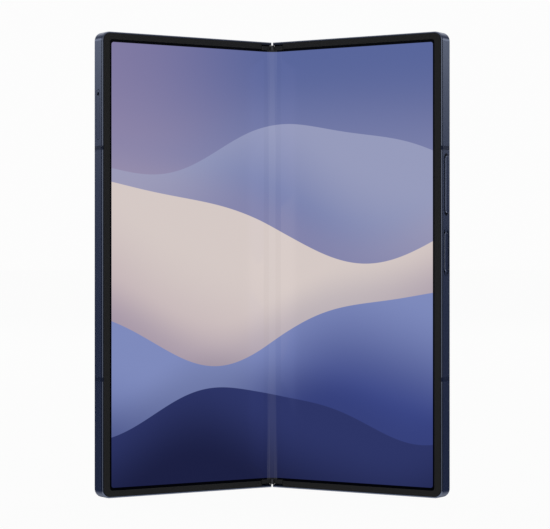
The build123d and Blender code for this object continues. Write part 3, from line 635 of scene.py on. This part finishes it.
def contact_tongue():
    """Black tongue with a row of gold contacts."""
    material, r, shader = new_finish("contact_tongue", IOR=1.5)
    place, _ = object_place(r)
    across, _, up = r.split(place)
    contact_pitch, contact_top = 0.5, 6.2
    gold = r.math("MULTIPLY", r.step(r.waves(across, contact_pitch), 0.5, 0.6),
                  r.step(up, contact_top, contact_top - 0.1))
    r.put(shader["Base Color"], r.blend(gold, srgb(20, 20, 22), srgb(226, 178, 92)))
    r.put(shader["Metallic"], gold)
    add_grain(r, shader, place, 0.08, 0.32, 0.1, 0.01, gold)
    return material


def dome_strip():
    """Amber film that carries three bright metal domes."""
    material, r, shader = new_finish("dome_strip", Metallic=1.0)
    place, _ = object_place(r)
    across = r.split(place)[0]
    film_face, dome_edge = 62.98, 63.05
    dome = r.step(across, film_face, dome_edge)
    r.put(shader["Base Color"], r.blend(dome, srgb(176, 104, 38), srgb(205, 203, 196)))
    add_grain(r, shader, place, 0.1, r.level(dome, 0.42, 0.2), 0.1, 0.004)
    return material


def tinned_sheet():
    """Thin tinned sheet with a faint spangle."""
    material, r, shader = new_finish("tinned_sheet", Metallic=1.0)
    place, _ = object_place(r)
    spangle = r.node("ShaderNodeTexVoronoi", {"Vector": place, "Scale": 0.5}, "Color")
    level = r.node("ShaderNodeRGBToBW", {"Color": spangle})
    r.put(shader["Base Color"], r.blend(level, srgb(168, 168, 164), srgb(196, 196, 194)))
    add_grain(r, shader, place, 0.2, 0.34, 0.12, 0.004)
    return material


def dress(finish, *names):
    """Gives CAD nodes or new pieces this finish in place of what they have."""
    for name in names:
        mesh = bpy.data.objects[name].data
        mesh.materials.clear()
        mesh.materials.append(finish)


def both(*names):
    return [f"{side}_{name}" for side in ("right", "left") for name in names]


navy = (0.2, 0.23, 0.31, 1)
navy_polish = (0.24, 0.27, 0.35, 1)
key_face = (0.14, 0.165, 0.24, 1)
key_polish = (0.37, 0.42, 0.55, 1)
# Painted shade colour for the keys' sunk walls.
key_sunk_painted_shade = (0.006, 0.008, 0.014, 1)
# Painted shade colour for the frame round the keys.
painted_key_shade = (0.012, 0.014, 0.02, 1)
# Painted shade colour for the frame's inside by the hinge.
inside_painted_shade = (0.004, 0.004, 0.005, 1)

dress(anodised("navy_frame", navy, navy_polish, frame=True), *both("frame"))
dress(anodised("navy_tray", navy, navy_polish, 0.2), "card_tray")
dress(key_metal("volume_rocker"), "volume_rocker")
dress(key_metal("side_key"), "side_key")
dress(anodised("navy_spine", navy, navy_polish), "spine_cover")
dress(anodised("navy_deck", navy, navy_polish), "camera_deck")
dress(moulded("grey_cap", srgb(82, 82, 83), 0.3), "spine_cap_bottom", "spine_cap_top")
dress(moulded("navy_band", (0.01, 0.02, 0.06, 1), 0.3), *both("antenna_bands"))
dress(moulded("black_rim", srgb(54, 53, 49), 0.5), *both("rim"))
dress(moulded("dark_guard", srgb(62, 62, 59), 0.4), *both("end_guards"))
dress(screen_finish("lit_screen", place_by_half), *both("screen"))
dress(frosted_glass(), "rear_glass")
dress(cover_screen(), "cover_glass")
dress(moulded("panel_back", srgb(16, 16, 20), 0.3), "cover_panel")
dress(moulded("foam_gasket", srgb(22, 22, 23), 0.85, 0.25, 0.03), "rear_gasket", "cover_gasket")
dress(turned_metal(), "lens_rings")
dress(flash_lens(), "flash_window")
dress(moulded("camera_black", srgb(18, 18, 20), 0.45), "cover_camera")
dress(steel("hinge_steel", srgb(176, 176, 178), 0.25), "hinge_bracket_bottom", "hinge_bracket_top",
      *both("rotor_arms"))
dress(steel("gear_steel", srgb(190, 187, 180), 0.12, 0.24), "friction_washers",
      *both("sync_gears", "idler_gears"))
dress(steel("wing_sheet", srgb(166, 168, 172), 0.3, 0.28), *both("wing_plate"))
dress(steel("screw_steel", srgb(196, 196, 198), 0.1, 0.26), "bracket_screws",
      *both("hinge_screws", "board_screws"))
dress(cell_wrap(), *both("battery"))
dress(circuit_board(), "main_board", "bottom_board", "second_board")
dress(tinned_sheet(), "shield_can", "card_reader")
dress(moulded("speaker_body", srgb(24, 24, 26), 0.5), "loudspeaker", "earpiece_speaker")
dress(steel("port_shell", srgb(178, 178, 180), 0.2, 0.24), "usb_shell")
dress(contact_tongue(), "usb_tongue")
dress(steel("motor_can", srgb(182, 182, 180), 0.35, 0.3), "vibration_motor")
dress(wound_copper(), "charging_coil")
dress(dome_strip(), "key_switches")


# ---- new pieces ----
def loose_copy(node):
    """A free copy of a CAD node's mesh, its triangles joined up again."""
    copied = bmesh.new()
    copied.from_mesh(cad[node].data)
    bmesh.ops.remove_doubles(copied, verts=copied.verts, dist=weld * MM)
    return copied


def as_piece(shape, name, finish, sharp=30.0):
    bmesh.ops.recalc_face_normals(shape, faces=shape.faces)
    mesh = bpy.data.meshes.new(name)
    shape.to_mesh(mesh)
    shape.free()
    mesh.polygons.foreach_set("use_smooth", [True] * len(mesh.polygons))
    mesh.set_sharp_from_angle(angle=math.radians(sharp))
    piece = bpy.data.objects.new(name, mesh)
    bpy.context.scene.collection.objects.link(piece)
    mesh.materials.append(finish)
    return piece


def keep_side(shape, side):
    """Cuts the shape at the middle, keeps one side of it and closes the cut."""
    everything = shape.verts[:] + shape.edges[:] + shape.faces[:]
    cut = bmesh.ops.bisect_plane(shape, geom=everything, plane_co=(0, 0, 0), plane_no=(side, 0, 0),
                                 dist=weld * MM, clear_inner=True)
    rim = [e for e in cut["geom_cut"] if isinstance(e, bmesh.types.BMEdge)]
    bmesh.ops.holes_fill(shape, edges=rim, sides=len(rim))


def cut_across(shape, side, reach, pieces):
    """Extra cuts across the sheet, so that it bends in a smooth curve."""
    for i in range(1, pieces):
        everything = shape.verts[:] + shape.edges[:] + shape.faces[:]
        bmesh.ops.bisect_plane(shape, geom=everything, plane_co=(side * reach * i / pieces * MM, 0, 0),
                               plane_no=(1, 0, 0), dist=weld * MM)


def map_sheet(piece):
    """Writes each point's place on the open sheet into a map: across and up, in metres."""
    places = piece.data.uv_layers.new(name="sheet")
    for loop in piece.data.loops:
        point = piece.data.vertices[loop.vertex_index].co
        places.data[loop.index].uv = (point.x * seam_flat / seam_folded, point.z)


def bending_halves(node, name, finish, reach, pieces):
    """Two pieces in place of a CAD node that bends: one for each half of the phone."""
    for side, half in ((1, "right_half"), (-1, "left_half")):
        shape = loose_copy(node)
        keep_side(shape, side)
        cut_across(shape, side, reach, pieces)
        piece = as_piece(shape, f"{half.split('_')[0]}_{name}", finish)
        map_sheet(piece)
        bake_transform(piece)
        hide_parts(node)


bending_halves("screen_fold", "screen_fold", screen_finish("lit_fold", place_by_map),
               seam_folded, 16)
bending_halves("hinge_ribbon_cable", "ribbon", amber_ribbon("amber_ribbon", place_by_map),
               7.0, 14)


def turned_on(axis_point, profile, steps=64):
    """A round solid from a profile of (radius, outward) points, standing on the rear face."""
    shape = bmesh.new()
    corners = [shape.verts.new((radius * MM, 0, out * MM)) for radius, out in profile]
    rim = [shape.edges.new(pair) for pair in zip(corners, corners[1:])]
    bmesh.ops.spin(shape, geom=corners + rim, cent=(0, 0, 0), axis=(0, 0, 1), dvec=(0, 0, 0),
                   angle=2 * math.pi, steps=steps, use_merge=True)
    bmesh.ops.remove_doubles(shape, verts=shape.verts, dist=weld * MM)
    stand = Matrix.Translation(axis_point) @ back_out.to_track_quat("Z", "Y").to_matrix().to_4x4()
    bmesh.ops.transform(shape, matrix=stand, verts=shape.verts)
    return shape


def add_to(whole, part):
    """Moves a shape's faces into another one."""
    held = bpy.data.meshes.new("held")
    part.to_mesh(held)
    part.free()
    whole.from_mesh(held)
    bpy.data.meshes.remove(held)


def lens_points():
    """The centre of each lens on the face of the rear glass."""
    foot = Vector((fold_axis.x, fold_axis.y, 0)) + along_half * (lens_across() - fold_axis.x)
    foot += back_out * (back_depth - fold_depth)
    return [Vector((foot.x, foot.y, height)) * MM for height in lens_heights()]


def at_each_lens(profile):
    whole = bmesh.new()
    for point in lens_points():
        add_to(whole, turned_on(point, profile))
    return whole


cover_radius, cover_low, cover_high, cover_bevel = 4.95, 1.15, 1.55, 0.12
cover_profile = [(0, cover_low), (cover_radius, cover_low), (cover_radius, cover_high - cover_bevel),
                 (cover_radius - cover_bevel, cover_high), (0, cover_high)]
barrel_radius, barrel_top, barrel_floor = 4.4, 1.1, -3.8
barrel_profile = [(0, barrel_floor), (barrel_radius, barrel_floor), (barrel_radius, barrel_top),
                  (4.1, barrel_top), (3.9, 0.7), (3.5, 0.7), (3.3, 0.2), (2.9, 0.2), (2.75, -0.2),
                  (2.3, -0.2), (2.3, -1.2), (0, -1.2)]
housing_width, housing_depth, housing_middle, housing_bevel = 11.0, 2.6, -2.05, 0.35
dome_profile = [(0, -1.15), (2.28, -1.15), (2.28, -0.55), (2.1, -0.42), (1.7, -0.28), (1.2, -0.18),
                (0.6, -0.12), (0, -0.1)]


def camera_bodies():
    """Each camera: a square housing with a stepped barrel that rises through the rear glass."""
    whole = at_each_lens(barrel_profile)
    turn = back_out.to_track_quat("Z", "Y").to_matrix().to_4x4()
    for point in lens_points():
        housing = bmesh.new()
        bmesh.ops.create_cube(housing, size=1.0)
        middle = point + back_out * (housing_middle * MM)
        size = Matrix.Diagonal((housing_width * MM, housing_width * MM, housing_depth * MM, 1.0))
        bmesh.ops.transform(housing, matrix=Matrix.Translation(middle) @ turn @ size,
                            verts=housing.verts)
        bmesh.ops.bevel(housing, geom=housing.edges[:], offset=housing_bevel * MM, segments=3,
                        profile=0.5, affect="EDGES", material=-1)
        add_to(whole, housing)
    return whole


lens_covers = as_piece(at_each_lens(cover_profile), "lens_covers", lens_coating())
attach(lens_covers, "right_half")
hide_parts("lens_glasses")

cameras = as_piece(camera_bodies(), "camera_bodies", moulded("barrel_black", srgb(15, 15, 17), 0.38))
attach(cameras, "right_half")
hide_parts("camera_modules")

lens_domes = as_piece(at_each_lens(dome_profile), "lens_domes", dark_optics())
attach(lens_domes, "right_half")


def dust_brushes():
    """A thin bristle pad on the face of each spine cap, which narrows the slit to the end walls."""
    whole = bmesh.new()
    low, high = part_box("spine_cap_bottom")[0].z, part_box("spine_cap_top")[1].z
    middle_y = (fold_axis.y + brush_front - fold_depth + brush_depth / 2) * MM
    for height in (low - brush_thickness / 2 * MM, high + brush_thickness / 2 * MM):
        pad = bmesh.new()
        bmesh.ops.create_cube(pad, size=1.0)
        size = Matrix.Diagonal((brush_width * MM, brush_depth * MM, brush_thickness * MM, 1.0))
        bmesh.ops.transform(pad, matrix=Matrix.Translation((0, middle_y, height)) @ size,
                            verts=pad.verts)
        corners = [e for e in pad.edges if abs(e.verts[0].co.z - e.verts[1].co.z) > weld * MM]
        bmesh.ops.bevel(pad, geom=corners, offset=brush_corner * MM, segments=4, profile=0.5,
                        affect="EDGES", material=-1)
        add_to(whole, pad)
    return whole


brush_front, brush_depth, brush_width, brush_thickness, brush_corner = 1.62, 0.7, 1.2, 0.075, 0.3
bristles = moulded("bristle_black", srgb(20, 20, 21), 0.7, 0.05, 0.01)
brushes = as_piece(dust_brushes(), "dust_brushes", bristles)
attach(brushes, "spine")


# ---- stage, light and camera ----
photo_width = 550
backdrop = srgb(252.4, 252.4, 252.4)
floor_albedo = 0.012
floor_glow = (0.964, 0.964, 0.963, 1)
camera_distance = 715.4
focal_length = 135.79
camera_shift = (2.83, 0.37)


def add_floor():
    """A plain pale floor, even with the backdrop, that shows only a faint shadow."""
    material = bpy.data.materials.new("pale_floor")
    material.use_nodes = True
    tree = material.node_tree
    shader = tree.nodes["Principled BSDF"]
    shader.inputs["Base Color"].default_value = (floor_albedo, floor_albedo, floor_albedo, 1)
    shader.inputs["Roughness"].default_value = 0.9
    shader.inputs["Specular IOR Level"].default_value = 0.0
    shader.inputs["Emission Color"].default_value = floor_glow
    shader.inputs["Emission Strength"].default_value = 1.0
    clear = tree.nodes.new("ShaderNodeBsdfTransparent")
    pick = tree.nodes.new("ShaderNodeMixShader")
    seen = tree.nodes.new("ShaderNodeLightPath").outputs["Is Camera Ray"]
    tree.links.new(seen, pick.inputs[0])
    tree.links.new(clear.outputs[0], pick.inputs[1])
    tree.links.new(shader.outputs[0], pick.inputs[2])
    tree.links.new(pick.outputs[0], tree.nodes["Material Output"].inputs["Surface"])
    shape = bmesh.new()
    bmesh.ops.create_grid(shape, x_segments=1, y_segments=1, size=30.0)
    floor = as_piece(shape, "floor", material)


def add_world():
    """Near-white behind the phone. What lights it is a soft studio, dark to each side in front."""
    world = bpy.data.worlds.new("studio")
    world.use_nodes = True
    bpy.context.scene.world = world
    r = Recipe(world.node_tree)
    _, y, z = r.split(r.node("ShaderNodeTexCoord", {}, "Generated"))
    low = r.blend(r.step(z, -0.09, 0.04), (0.045, 0.058, 0.11, 1), (0.07, 0.085, 0.14, 1))
    strip = r.math("MULTIPLY", r.step(z, 0.06, 0.15), r.step(z, 0.34, 0.24))
    beside = r.blend(strip, low, (0.78, 0.8, 0.85, 1))
    behind = r.blend(r.step(z, 0.02, 0.13), low, (0.7, 0.71, 0.75, 1))
    window = r.blend(r.step(z, -0.16, 0.16), (0.3, 0.31, 0.34, 1), (0.66, 0.67, 0.7, 1))
    front = r.blend(r.step(z, -0.1, 0.5), (0.008, 0.012, 0.026, 1), (0.13, 0.135, 0.15, 1))
    colour = r.blend(r.step(y, -0.12, 0.25), front, beside)
    colour = r.blend(r.step(y, 0.6, 0.84), colour, behind)
    colour = r.blend(r.step(y, -0.85, -0.91), colour, window)
    colour = r.blend(r.step(z, 0.5, 0.85), colour, (0.35, 0.36, 0.39, 1))
    colour = r.blend(r.step(z, -0.28, -0.6), colour, (0.55, 0.56, 0.6, 1))
    seen = r.node("ShaderNodeLightPath", {}, "Is Camera Ray")
    r.put(world.node_tree.nodes["Background"].inputs["Color"],
          r.blend(seen, colour, backdrop))


def add_softbox(name, place, aim, size, radiance, glints=True):
    """A soft panel light. Its power follows from its size and how bright it looks."""
    light = bpy.data.lights.new(name, "AREA")
    light.shape = "RECTANGLE"
    light.size, light.size_y = size
    light.energy = radiance * math.pi * size[0] * size[1]
    lamp = bpy.data.objects.new(name, light)
    lamp.location = place
    lamp.rotation_euler = (Vector(aim) - Vector(place)).to_track_quat("-Z", "Y").to_euler()
    lamp.visible_camera = False
    lamp.visible_glossy = glints
    bpy.context.scene.collection.objects.link(lamp)


def add_camera():
    """Level with the phone's middle, square to it, at the photograph's distance."""
    data = bpy.data.cameras.new("photo_camera")
    data.lens = focal_length
    data.sensor_width = 36.0
    data.shift_x, data.shift_y = [pixels / photo_width for pixels in camera_shift]
    camera = bpy.data.objects.new("photo_camera", data)
    flat_face = fold_axis.y - fold_depth
    camera.location = (0, (flat_face - camera_distance) * MM, phone_height / 2 * MM)
    camera.rotation_euler = (math.radians(90), 0, 0)
    bpy.context.scene.collection.objects.link(camera)
    bpy.context.scene.camera = camera


centre = (0, 0, phone_height / 2 * MM)
add_floor()
add_world()
add_softbox("top_box", (0, 0.2, 1.8), centre, (1.2, 1.2), 0.45)
add_softbox("right_fill", (1.2, 1.3, 0.7), centre, (1.4, 1.4), 3.4, glints=False)
add_softbox("left_fill", (-1.2, 1.3, 0.7), centre, (1.4, 1.4), 3.4, glints=False)
add_camera()
bpy.context.scene.view_settings.view_transform = "Standard"

bpy.context.view_layer.update()
